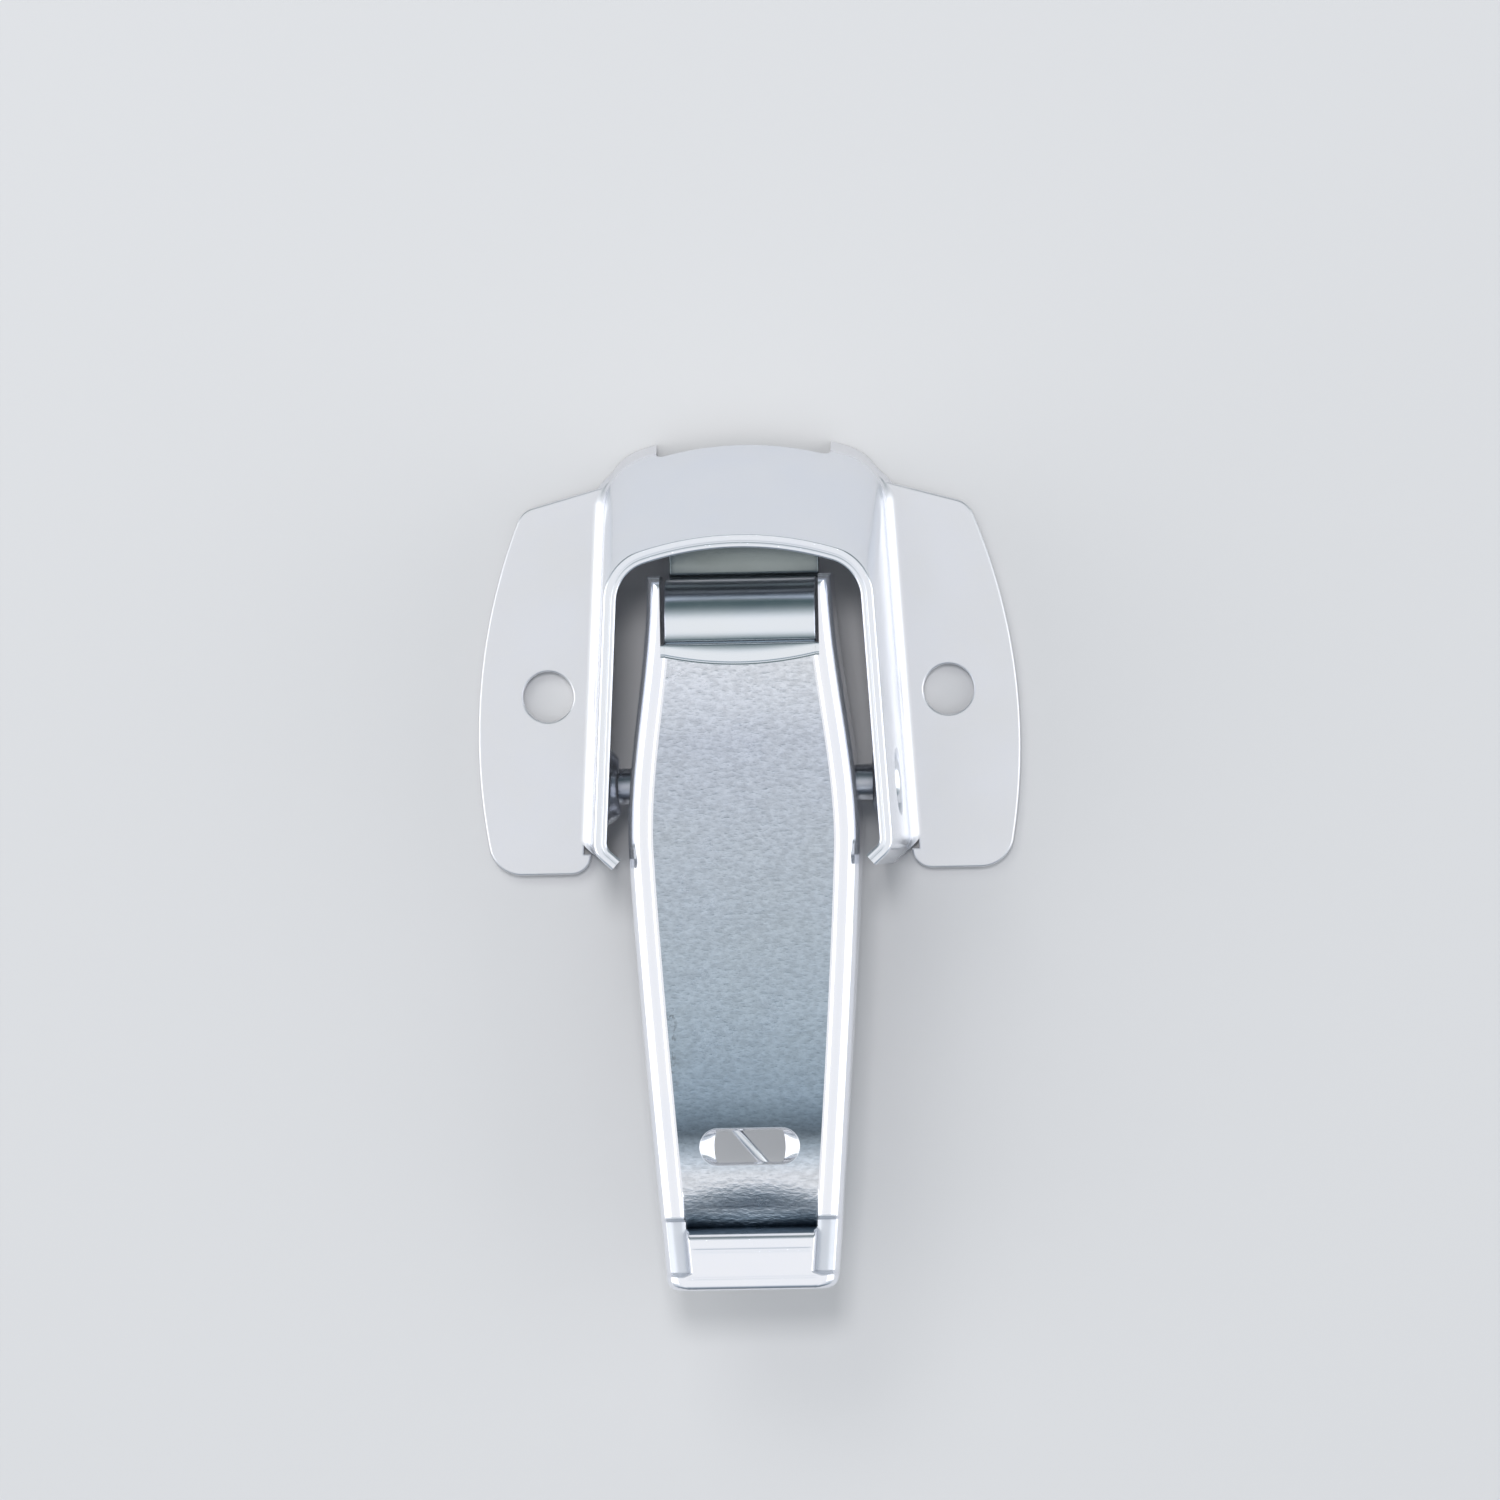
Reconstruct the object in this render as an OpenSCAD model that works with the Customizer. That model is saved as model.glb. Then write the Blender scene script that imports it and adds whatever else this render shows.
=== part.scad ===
// Screen door catch in zinc-plated pressed steel: a case with two screw ears and an arched hood,
// and a rocking lever that turns on a cross pin inside the hood and is held shut by a torsion spring.
// The origin is midway between the two screw holes, on the face that lies against the door.
// +X is to the right, +Y toward the closed, arched end of the hood, +Z away from the door.

/* [Sheet] */
// Sheet thickness of the case
case_t = 1.1; // [0.9:0.05:1.2]
// Sheet thickness of the lever
lever_t = 1.0; // [0.8:0.05:1.1]

/* [Ears] */
// How far each ear reaches out from the hood's foot at the screw line
ear_w = 9.95; // [9:0.05:12]
// Radius of the long curved outer edge of an ear
ear_edge_r = 50; // [35:1:90]
// Height of the widest point of the ears above the screw line, negative is below
ear_wide_y = -4; // [-6:0.5:-2]
// Level of the ears' straight lower edge below the screw line
ear_low = 14.9; // [14.6:0.1:16]
// Level of the ears' upper edge above the screw line, measured where it meets the hood
ear_top = 17.2; // [15.5:0.1:18]
// Slope of the ears' upper edge, in degrees
ear_top_slope = 15.2; // [8:0.2:20]
// Corner radius at the top of an ear
ear_top_r = 2; // [1:0.1:3]
// Corner radius at the bottom of an ear
ear_low_r = 2.8; // [1.5:0.1:3.5]
// Distance between the two screw holes
screw_spacing = 33.5; // [33:0.1:36]
// Diameter of the screw holes
screw_d = 4.2; // [3.5:0.1:4.8]

/* [Hood] */
// Side clearance between the lever and the hood's front edge, at the pin
side_gap = 1.4; // [1.1:0.05:1.9]
// How much wider each side of the hood is at the door than at its front edge
side_draft = 1.1; // [0.7:0.05:1.6]
// How much each side spreads per millimetre toward the open end
side_taper = 0.058; // [0.03:0.002:0.07]
// Distance that the roof runs back from the front edge to the door
roof_run = 8.9; // [8:0.1:10.5]
// Radius of the arched roof, seen from the front
roof_r = 27; // [23:0.5:32]
// Radius of the two corners between the roof and the sides, seen from the front
hood_corner_r = 4.4; // [3.6:0.1:5]
// Inner radius of the bend between an ear and the hood's side
ear_bend_r = 1.0; // [0.6:0.1:1.4]
// Radius of the side walls' inward turn at the open end
wall_turn_r = 2.0; // [1.6:0.1:2.8]
// Angle of that inward turn
wall_turn = 48; // [30:1:55]
// Distance from the pin to the start of that inward turn
wall_turn_from_pin = 4.6; // [4.4:0.1:5.2]
// Length of the straight tip beyond that inward turn
wall_tip = 1.1; // [0.4:0.1:1.4]
// Side clearance between the lever and the bosses pressed inward round the pin
boss_gap = 0.95; // [0.7:0.05:1.2]
// Radius of a boss at its flat top
boss_r = 2.5; // [2.4:0.1:3]
// How much wider a boss is at its foot
boss_flank = 0.7; // [0.5:0.05:0.8]
// Width of the strike's notch in the foot of the roof
notch_w = 14.6; // [10:0.1:16]
// Height of that notch
notch_h = 2.5; // [1.5:0.1:3.5]

/* [Lever] */
// Largest width of the lever, just below the pin
lever_w = 19.1; // [18:0.1:20.5]
// Width over the two arms at the nose
nose_w = 15.2; // [14.4:0.1:16]
// Width at the finger end
tail_w = 14.0; // [13:0.1:15]
// Height of the lever's face above the pin's axis
face_rise = 8.4; // [7.8:0.1:9.2]
// How far the hood's front edge stands above the lever's face
rim_over_face = 1.1; // [0.6:0.1:1.8]
// Outer radius of the rounded shoulders
shoulder_r = 1.3; // [1.15:0.05:1.6]
// How far the shoulders stand above the face
shoulder_rise = 0.16; // [0.1:0.02:0.24]
// Depth of the side flanges below the pin's axis
flange_below_pin = 3.2; // [2.6:0.1:4]
// Depth of the side flanges below the face at the finger end
tail_flange = 4.6; // [4:0.1:6]
// Distance from the screw line down to the finger end
tail_reach = 49.2; // [46:0.1:54]
// Length of the finger lip
lip_len = 3.8; // [3.4:0.1:5]
// Depth of the dip in front of the finger lip
dip_depth = 1.7; // [1:0.1:2.4]
// Length of the slope that leads down into the dip
dip_run = 3.5; // [2.5:0.1:5]
// Length of the slot in the lever
slot_len = 8.1; // [6:0.1:9]
// Width of the slot
slot_w = 2.9; // [2:0.1:3.6]
// Distance from the slot's middle to the finger end
slot_from_end = 11.8; // [10.8:0.1:14]
// How far the slot's end bevels narrow the hole at each end
slot_bevel = 1.1; // [0.5:0.05:1.2]

/* [Nose] */
// Distance from the screw line up to the front of the nose
nose_reach = 9.5; // [8.5:0.1:10.5]
// Clearance between the front of the nose and the hood's front edge
roof_gap = 2.3; // [1.8:0.05:3]
// Gap between the tongue and each arm
tongue_gap = 0.3; // [0.2:0.05:0.5]
// Radius of the rolled top of the nose
nose_r = 3.6; // [2.8:0.1:4]
// Depth of the rounded step between face and nose
step_drop = 0.85; // [0.5:0.05:1.2]
// Length of that step, seen from the front
step_len = 3.0; // [2.4:0.1:3.6]
// Length of the level stretch between that step and the rolled nose
level_len = 0.4; // [0.2:0.1:1]
// How far along the step the tongue parts from the arms
slit_from_step = 1.5; // [1:0.1:2.2]
// Length of the latching foot, from the front of the nose
foot_len = 4.0; // [2.5:0.1:4.5]
// Height of the latching foot's upper face above the door
foot_z = 5.2; // [4.6:0.1:6]
// How far the arms reach beyond the nose
arm_past_nose = 0.2; // [0:0.1:0.6]

/* [Pin and spring] */
// Diameter of the cross pin
pin_d = 3.0; // [2.5:0.1:3.2]
// Distance from the screw line down to the pin's axis
pin_below = 7.6; // [7:0.1:8.4]
// Height of the pin's axis above the door
pin_z = 8.5; // [7.8:0.1:9.2]
// Running clearance of the lever on the pin, on the radius
pin_fit = 0.05; // [0.02:0.01:0.1]
// Clearance of the pin in the case, on the radius
case_fit = 0.02; // [0.01:0.01:0.05]
// How far the pin's riveted ends stand out in the hollows behind the bosses
pin_stand = 0.5; // [0.3:0.05:0.8]
// Wire diameter of the spring
wire_d = 0.8; // [0.6:0.05:0.9]
// Number of turns of the spring
turns = 5; // [3:1:6]
// Clearance between the spring's turns
turn_gap = 0.06; // [0.04:0.02:0.12]
// Clearance between the coil and the pin, on the radius
coil_fit = 0.3; // [0.2:0.05:0.5]
// Clearance of the spring's legs from the lever's sheet and from the door
leg_gap = 0.08; // [0.05:0.01:0.15]
// How far the leg under the lever runs past the middle of the slot
leg_past_slot = 2.0; // [1.7:0.1:2.3]
// Length of the leg that bears on the door, measured from the pin
door_leg = 11; // [9:0.5:13]

/* [Hidden] */
$fn = 64;
zinc = "Silver";
bright_zinc = "Gainsboro";
steel = "DarkGray";
wire_colour = "LightSlateGray";

// Small overlap that lets one solid run into another, and a length that passes right through
lap = 0.8;
through = 60;

// Heights
face_z = pin_z + face_rise;
hood_h = face_z + rim_over_face;
pin_y = -pin_below;

// Lever: places along Y
tail_y = -tail_reach;
slot_y = tail_y + slot_from_end;
lip_y = tail_y + lip_len;
lip_rise_len = 1.3;
dip_y = lip_y + lip_rise_len;
dip_start_y = dip_y + dip_run;
shoulder_end_y = dip_y + 0.9;
shoulder_end_len = 0.35;
shoulder_drop = 0.9;
shoulder_past = acos((shoulder_r - shoulder_rise) / shoulder_r);
lip_full_y = tail_y + 1.5;
lip_full_len = 0.4;
wide_y = pin_y - 4.5;
arm_y = nose_reach + arm_past_nose;
nose_back_y = nose_reach - nose_r;
step_end_y = nose_back_y - level_len;
step_y = step_end_y - step_len;
slit_y = step_y + slit_from_step;
web_end_y = step_y - lap / 2;
web_stub = 0.06;
arm_r = 1.4;
arm_low_r = 4;
flange_low_z = pin_z - flange_below_pin;
tongue_half = nose_w / 2 - lever_t - web_stub - tongue_gap;
lip_end_r = 1.0;
lip_over_face = 0.1;

// Pin and spring
pin_r = pin_d / 2;
coil_r = pin_r + coil_fit + wire_d / 2;
turn_pitch = wire_d + turn_gap;
coil_half = turns * turn_pitch / 2;
wire_sides = 8;
steps_per_turn = 12;

// Hood: half-widths on the screw line and the roof's apex, at the front edge and at the door
taper_n = sqrt(1 + side_taper * side_taper);
rim_half = lever_w / 2 + side_gap + case_t + side_taper * pin_y;
foot_half = rim_half + side_draft;
roof_tilt = atan(roof_run / hood_h);
roof_t = case_t / cos(roof_tilt);
rim_apex = nose_reach + roof_gap + roof_t;
turn_y = pin_y - wall_turn_from_pin;
outer_bend_r = ear_bend_r + case_t;
pin_wall = mix(foot_half, rim_half, pin_z / hood_h) - side_taper * pin_y;
boss_x = lever_half(pin_y) + boss_gap;
boss_slope = boss_flank / (pin_wall - case_t - boss_x);
ear_half = foot_half + ear_w;

// Points per stretch of the hood's outline
turn_steps = 5;
corner_steps = 7;
roof_steps = 8;

// Plain helpers
function unit(a) = [cos(a), sin(a)];
function arc(c, r, a0, a1, n) = [for (i = [0:n]) c + r * unit(a0 + (a1 - a0) * i / n)];
function mix(a, b, t) = a + (b - a) * t;
function clamp01(t) = min(1, max(0, t));
function ease(t) = let (u = clamp01(t)) u * u * (3 - 2 * u);
function reversed(v) = [for (i = [len(v) - 1:-1:0]) v[i]];
function mirrored(v) = [for (p = v) [-p[0], p[1]]];

// Centre of a circle of radius r inside a circle (centre o, radius big) and inside the line with
// unit normal n at distance c, on the side s of that normal
function nested_centre(o, big, n, c, r, s) =
    let (h = c - r - n * o, along = sqrt((big - r) * (big - r) - h * h))
    o + h * n + s * along * [-n[1], n[0]];

// Joins rings of equal length into one closed solid. Each ring turns counterclockwise about the
// direction in which the rings follow one another. An end is closed by a strip between the ring's
// first half and its second half, so a ring may be the outline of an open channel
module loft(rings) {
    n = len(rings[0]);
    last = len(rings) - 1;
    points = [for (ring = rings) for (p = ring) p];
    sides = [for (k = [0:last - 1]) for (i = [0:n - 1]) let (j = (i + 1) % n)
        [k * n + i, (k + 1) * n + i, (k + 1) * n + j, k * n + j]];
    strip = [for (i = [0:n / 2 - 2]) [i, i + 1, n - 2 - i, n - 1 - i]];
    first_cap = strip;
    last_cap = [for (f = strip) [for (i = reversed(f)) last * n + i]];
    polyhedron(points = points, faces = concat(first_cap, sides, last_cap), convexity = 8);
}

// Hood outline at height z

// Spread of the outer face into the ear's upper face
function outer_flare(z) =
    let (u = clamp01((z - case_t) / ear_bend_r))
    ear_bend_r * (1 - sqrt(1 - (1 - u) * (1 - u)));

// Spread of the inner face into the ear's lower face
function inner_flare(z) =
    let (u = clamp01(z / outer_bend_r))
    outer_bend_r * (1 - sqrt(1 - (1 - u) * (1 - u)));

// Right half of an outline, from the wall's turned tip to the apex of the roof. The spread of the foot
// is full along the straight side and runs out in the turn and in the roof's corner
function half_outline(z, depth, roof_depth, flare) =
    let (
        s = z / hood_h,
        r = roof_r - depth,
        half = mix(foot_half, rim_half, s) - depth * taper_n,
        apex = mix(rim_apex + roof_run, rim_apex, s) - roof_depth,
        top = [0, apex - r],
        n = [1, side_taper] / taper_n,
        lean = atan(side_taper),
        corner_r = hood_corner_r - depth,
        corner = nested_centre(top, r, n, half / taper_n, corner_r, 1),
        corner_end = atan2(corner[1] - top[1], corner[0]),
        turn_r = wall_turn_r - depth,
        turn_c = [half - side_taper * turn_y - turn_r, turn_y]
    )
    concat(
        [turn_c + turn_r * unit(-wall_turn) + wall_tip * unit(-90 - wall_turn)],
        [for (i = [0:turn_steps]) let (u = i / turn_steps)
            turn_c + (turn_r + flare * u * u) * unit(mix(-wall_turn, lean, u))],
        [for (i = [0:corner_steps]) let (u = i / corner_steps)
            corner + (corner_r + flare * clamp01(1 - 2.5 * u)) * unit(mix(lean, corner_end, u))],
        [for (i = [1:roof_steps]) top + r * unit(mix(corner_end, 90, i / roof_steps))]
    );

function whole_outline(half) = concat(half, reversed(mirrored([for (i = [0:len(half) - 2]) half[i]])));

function hood_ring(z, foot) =
    let (
        outer = whole_outline(half_outline(z, 0, 0, outer_flare(z) + foot)),
        inner = whole_outline(half_outline(z, case_t, roof_t, inner_flare(z)))
    )
    [for (p = concat(outer, reversed(inner))) [p[0], p[1], z]];

module hood() {
    bend_z = [for (a = [18:18:90]) case_t + ear_bend_r * (1 - cos(a))];
    rings = concat(
        [for (z = [0, 0.12 * case_t, 0.5 * case_t, 0.9 * case_t]) hood_ring(z, lap)],
        [hood_ring(case_t, 0)],
        [for (z = bend_z) hood_ring(z, 0)],
        [hood_ring(hood_h, 0)]
    );
    loft(rings);
}

// Right ear. Its inner edge runs inside the hood's foot, leans in with the hood's corner at the top, and is
// rounded off under the wall's turn
function ear_outline() =
    let (
        o = [ear_half - ear_edge_r, ear_wide_y],
        lean = atan(side_taper),
        arch = [0, rim_apex + roof_run - roof_r],
        corner = nested_centre(arch, roof_r, [1, side_taper] / taper_n, foot_half / taper_n, hood_corner_r, 1),
        corner_end = atan2(corner[1] - arch[1], corner[0]),
        join_a = asin((ear_top + 0.15 - corner[1]) / (hood_corner_r + 0.5)),
        join_f = clamp01(1 - 2.5 * (join_a - lean) / (corner_end - lean)),
        join_x = corner[0] + (hood_corner_r - case_t / 2 + (ear_bend_r + 0.95) * join_f) * cos(join_a),
        lean_y = min(corner[1], ear_top - 1.2),
        inner_x = foot_half + ear_bend_r + lap / 2,
        tab_x = foot_half - side_taper * turn_y,
        tab_y = turn_y - ear_bend_r,
        tab_r = tab_y + ear_low,
        top_n = unit(90 - ear_top_slope),
        top_c = [foot_half, ear_top] * top_n,
        top = nested_centre(o, ear_edge_r, top_n, top_c, ear_top_r, -1),
        low = nested_centre(o, ear_edge_r, [0, -1], ear_low, ear_low_r, 1),
        low_a = atan2(low[1] - o[1], low[0] - o[0]),
        top_a = atan2(top[1] - o[1], top[0] - o[0])
    )
    concat(
        [[inner_x - side_taper * tab_y, tab_y]],
        arc([tab_x + tab_r, tab_y], tab_r, 180, 270, 6),
        arc(low, ear_low_r, -90, low_a, 8),
        arc(o, ear_edge_r, low_a, top_a, 16),
        arc(top, ear_top_r, top_a, 90 - ear_top_slope, 8),
        [[join_x, (top_c - top_n[0] * join_x) / top_n[1]], [inner_x - side_taper * lean_y, lean_y]]
    );

module ear() {
    linear_extrude(height = case_t)
        polygon(ear_outline());
}

module strike_notch() {
    corner = 0.8;
    translate([0, rim_apex, -1])
        union() {
            translate([-notch_w / 2, 0, 0])
                cube([notch_w, through, 1 + notch_h - corner]);
            translate([corner - notch_w / 2, 0, 0])
                cube([notch_w - 2 * corner, through, 1 + notch_h]);
            for (side = [-1, 1])
                translate([side * (notch_w / 2 - corner), 0, 1 + notch_h - corner])
                    rotate([-90, 0, 0])
                        cylinder(r = corner, h = through);
        }
}

// Radius of a boss's outer flank at the distance x from the middle
function boss_radius(x) = boss_r + boss_slope * (x - boss_x);

// Boss pressed inward round the pin in the right wall, and the hollow that the pressing leaves outside
module boss() {
    far = pin_wall - case_t / 2;
    translate([boss_x, pin_y, pin_z])
        rotate([0, 90, 0])
            cylinder(r1 = boss_r, r2 = boss_radius(far), h = far - boss_x);
}

module boss_hollow() {
    near = boss_x + case_t;
    far = pin_wall + lap;
    inset = case_t * sqrt(1 + boss_slope * boss_slope);
    translate([near, pin_y, pin_z])
        rotate([0, 90, 0])
            cylinder(r1 = boss_radius(near) - inset, r2 = boss_radius(far) - inset, h = far - near);
}

module both_sides() {
    children();
    mirror([1, 0, 0])
        children();
}

module cross_bore(r) {
    translate([0, pin_y, pin_z])
        rotate([0, 90, 0])
            cylinder(r = r, h = through, center = true);
}

module case() {
    color(zinc)
        difference() {
            union() {
                hood();
                both_sides() ear();
                both_sides() boss();
            }
            both_sides() boss_hollow();
            for (side = [-1, 1])
                translate([side * screw_spacing / 2, 0, -1])
                    cylinder(d = screw_d, h = case_t + 2);
            cross_bore(pin_r + case_fit);
            strike_notch();
        }
}

// Lever: sizes at the distance y along it

// Half-width of the lever over its flanges
function lever_half(y) =
    y < wide_y
        ? mix(lever_w, tail_w, pow((wide_y - y) / (wide_y - tail_y), 1.2)) / 2
        : mix(lever_w, nose_w, ease((y - wide_y) / (arm_y - wide_y))) / 2;

// Height of the face: level, down into the dip, up over the lip's rounded front and round its end
function dip_z(y) = face_z - dip_depth * pow(clamp01((dip_start_y - y) / dip_run), 1.7);

function web_z(y) =
    let (u = 1 - clamp01((dip_y - y) / lip_rise_len))
    y >= dip_y ? dip_z(y) : mix(face_z - dip_depth, lip_top(y), sqrt(1 - u * u));

// Height of the face's underside
function under_z(y) = mix(dip_z(y), lip_top(y), ease((lip_y - y) / 0.5)) - lever_t;

function lip_top(y) =
    let (u = clamp01((tail_y + lip_end_r - y) / lip_end_r))
    face_z + lip_over_face - lip_end_r * (1 - sqrt(1 - 0.96 * u * u));

// How far the lip has widened to the lever's full width, from 0 to 1
function lip_full(y) = ease((lip_full_y - y) / lip_full_len);

// Height of the shoulders: a little above the face, low beside the lip, and level with its end
function crown_z(y) =
    let (u = ease((shoulder_end_y - y) / shoulder_end_len))
    mix(face_z + shoulder_rise - shoulder_drop * u, lip_top(y), lip_full(y));

// Lower edge of the flanges: it rises toward the finger end and is rounded off under the lip
function flange_z(y) =
    let (end = clamp01((lip_y - y) / lip_len))
    y > pin_y
        ? flange_low_z
        : mix(flange_low_z, face_z - tail_flange, ease((pin_y - y) / (pin_y - dip_start_y)))
            + (tail_flange - lever_t - 1.2) * (1 - sqrt(1 - end * end));

function lever_half_outer(y) =
    let (
        w = lever_half(y),
        c = [w - shoulder_r, crown_z(y) - shoulder_r],
        past = mix(shoulder_past, 6, lip_full(y)),
        edge = c + shoulder_r * unit(90 + past),
        z = web_z(y)
    )
    concat(
        [[w, flange_z(y)]],
        arc(c, shoulder_r, 0, 90 + past, 8),
        [[edge[0] - 0.25, z], [edge[0] - 1.4, z]]
    );

function lever_half_inner(y) =
    let (
        w = lever_half(y),
        r = shoulder_r - lever_t,
        z = under_z(y),
        c = [w - shoulder_r, min(crown_z(y), z + lever_t + shoulder_rise) - shoulder_r]
    )
    concat(
        [[w - lever_t, flange_z(y)]],
        arc(c, r, 0, 90, 8),
        [[c[0] - 0.8, z], [c[0] - 2.2, z]]
    );

function lever_ring(y) =
    let (
        outer = lever_half_outer(y),
        inner = lever_half_inner(y),
        ring = concat(outer, reversed(mirrored(outer)), mirrored(inner), reversed(inner))
    )
    [for (p = ring) [p[0], y, p[1]]];

module lever_channel() {
    long_steps = 16;
    stations = concat(
        [for (i = [0:5]) tail_y + lip_end_r * (1 - cos(18 * i))],
        [for (i = [2:-1:0]) lip_full_y - lip_full_len * i / 2],
        [lip_y - 0.5, lip_y - 0.25],
        [for (i = [6:-1:0]) dip_y - lip_rise_len * i * i / 36],
        [shoulder_end_y - shoulder_end_len, shoulder_end_y - shoulder_end_len / 2, shoulder_end_y],
        [for (i = [1:5]) mix(shoulder_end_y, dip_start_y, i / 5)],
        [for (i = [1:long_steps]) mix(dip_start_y, arm_y + lap, i / long_steps)]
    );
    loft([for (y = reversed(stations)) lever_ring(y)]);
}

// Clears the web between the arms, beyond the point where the tongue takes over
module web_cut() {
    half = tongue_half + tongue_gap;
    translate([-half, web_end_y, 0])
        cube([2 * half, through, hood_h + lap]);
}

// Cuts the free ends of the arms to length, rounded, seen from the side
function arm_end_outline() =
    let (
        back = arm_y - arm_r,
        top = face_z + shoulder_rise + 0.04,
        low = flange_low_z - 0.04,
        low_back = arm_y - arm_low_r,
        far = arm_y + 2 * lap
    )
    concat(
        [[back, top + lap]],
        arc([back, top - arm_r], arm_r, 90, 0, 6),
        arc([low_back, low + arm_low_r], arm_low_r, 0, -90, 8),
        [[low_back, low - lap], [far, low - lap], [far, top + lap]]
    );

module side_extrusion(half_width) {
    rotate([90, 0, 90])
        linear_extrude(height = 2 * half_width, center = true)
            children();
}

module arm_end_cut() {
    side_extrusion(nose_w)
        polygon(arm_end_outline());
}

// Side view of the tongue: step, rolled nose, upright front and latching foot
function tongue_outline() =
    let (
        t = lever_t,
        top = face_z - step_drop,
        roll = [nose_back_y, top - nose_r],
        toe_r = 0.6,
        toe = [nose_reach + toe_r, foot_z + toe_r],
        tip = nose_reach + foot_len,
        turn = 2 * atan(step_drop / step_len),
        r = step_len / (2 * sin(turn)),
        crest = [step_y, face_z - r],
        trough = [step_end_y, top + r]
    )
    concat(
        [[step_y - lap, face_z]],
        arc(crest, r, 90, 90 - turn, 5),
        [for (i = [1:5]) trough + r * unit(270 - turn + turn * i / 5)],
        arc(roll, nose_r, 90, 0, 10),
        arc(toe, toe_r, 180, 270, 5),
        arc([tip - t / 2, foot_z - t / 2], t / 2, 90, -90, 6),
        arc(toe, toe_r + t, 270, 180, 6),
        arc(roll, nose_r - t, 0, 90, 8),
        arc(trough, r + t, 270, 270 - turn, 5),
        [for (i = [4:-1:0]) crest + (r - t) * unit(90 - turn * i / 5)],
        [[step_y - lap, face_z - t]]
    );

// Front view of the tongue: joined to both arms as far as the slits, and narrower beyond them
function tongue_plan() =
    let (
        joined = [for (i = [0:4]) let (y = mix(step_y - lap, slit_y, i / 4)) [lever_half(y) - lever_t + 0.12, y]],
        right = concat(joined, [[tongue_half, slit_y], [tongue_half, nose_reach + foot_len + lap]])
    )
    concat(right, reversed(mirrored(right)));

module tongue() {
    intersection() {
        side_extrusion(nose_w)
            polygon(tongue_outline());
        linear_extrude(height = hood_h)
            polygon(tongue_plan());
    }
}

// Oblong slot whose ends slope down into the hole
function slot_ring(z, bevel) =
    let (end_x = (slot_len - slot_w) / 2, r = slot_w / 2)
    [for (side = [1, -1]) for (p = arc([0, 0], 1, -90, 90, 12))
        [side * (end_x + (r - bevel) * p[0]), slot_y + side * (r - bevel / 8) * p[1], z]];

module lever_slot() {
    low = face_z - lever_t;
    loft([
        slot_ring(low - lap, slot_bevel),
        slot_ring(low + 0.2, slot_bevel),
        slot_ring(face_z + 0.01, 0),
        slot_ring(face_z + lap, 0)
    ]);
}

module lever() {
    color(bright_zinc)
        difference() {
            union() {
                difference() {
                    lever_channel();
                    web_cut();
                    arm_end_cut();
                }
                tongue();
            }
            cross_bore(pin_r + pin_fit);
            lever_slot();
        }
}

// Cross pin, riveted in the bosses of the hood's two sides
module pivot_pin() {
    half = boss_x + case_t + pin_stand;
    edge = 0.3;
    color(steel)
        translate([0, pin_y, pin_z])
            rotate([0, 90, 0])
                union() {
                    cylinder(r = pin_r, h = 2 * (half - edge), center = true);
                    for (side = [0, 1])
                        mirror([0, 0, side])
                            translate([0, 0, half - edge])
                                cylinder(r1 = pin_r, r2 = pin_r - edge, h = edge);
                }
}

// Torsion spring: a leg on the door, the coil round the pin, and a leg under the lever's face

// Angle at which a tangent from the point (dy, dz), seen from the pin, touches the coil
function touch(dy, dz, side) = atan2(dz, dy) + side * acos(coil_r / sqrt(dy * dy + dz * dz));

function spring_path() =
    let (
        door_end = [coil_half, pin_y + door_leg, wire_d / 2 + leg_gap],
        lever_end = [-coil_half, slot_y + 3, face_z - lever_t - leg_gap - wire_d / 2],
        start_a = touch(door_leg, door_end[2] - pin_z, -1),
        end_a = touch(lever_end[1] - pin_y, lever_end[2] - pin_z, 1),
        sweep = turns + ((((start_a - end_a) % 360) + 360) % 360) / 360,
        n = round(sweep * steps_per_turn),
        squeeze = turns / sweep
    )
    concat(
        [door_end],
        [for (i = [0:n]) let (t = sweep * i / n)
            [coil_half - turn_pitch * squeeze * t,
             pin_y + coil_r * cos(start_a - 360 * t),
             pin_z + coil_r * sin(start_a - 360 * t)]],
        [lever_end, [-1.2, slot_y + 1.4, lever_end[2]], [1.7, slot_y - leg_past_slot, lever_end[2]]]
    );

function unit3(v) = v / norm(v);

// Sweeps a round wire along the points, with rings that stay square to the path
module wire(path, r) {
    last = len(path) - 1;
    rings = [for (k = [0:last])
        let (
            back = k == 0 ? path[1] - path[0] : path[k] - path[k - 1],
            ahead = k == last ? back : path[k + 1] - path[k],
            along = unit3(unit3(back) + unit3(ahead)),
            side = unit3(abs(along[0]) > 0.9 ? cross(along, [0, 0, 1]) : cross([1, 0, 0], along)),
            up = cross(along, side)
        )
        [for (i = [0:wire_sides - 1]) let (a = 360 * i / wire_sides)
            path[k] + r * (cos(a) * side + sin(a) * up)]];
    loft(rings);
}

module lever_spring() {
    color(wire_colour)
        wire(spring_path(), wire_d / 2);
}

case();
lever();
pivot_pin();
lever_spring();
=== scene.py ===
import math

import bmesh
import bpy
from mathutils import Matrix, Vector


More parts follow.
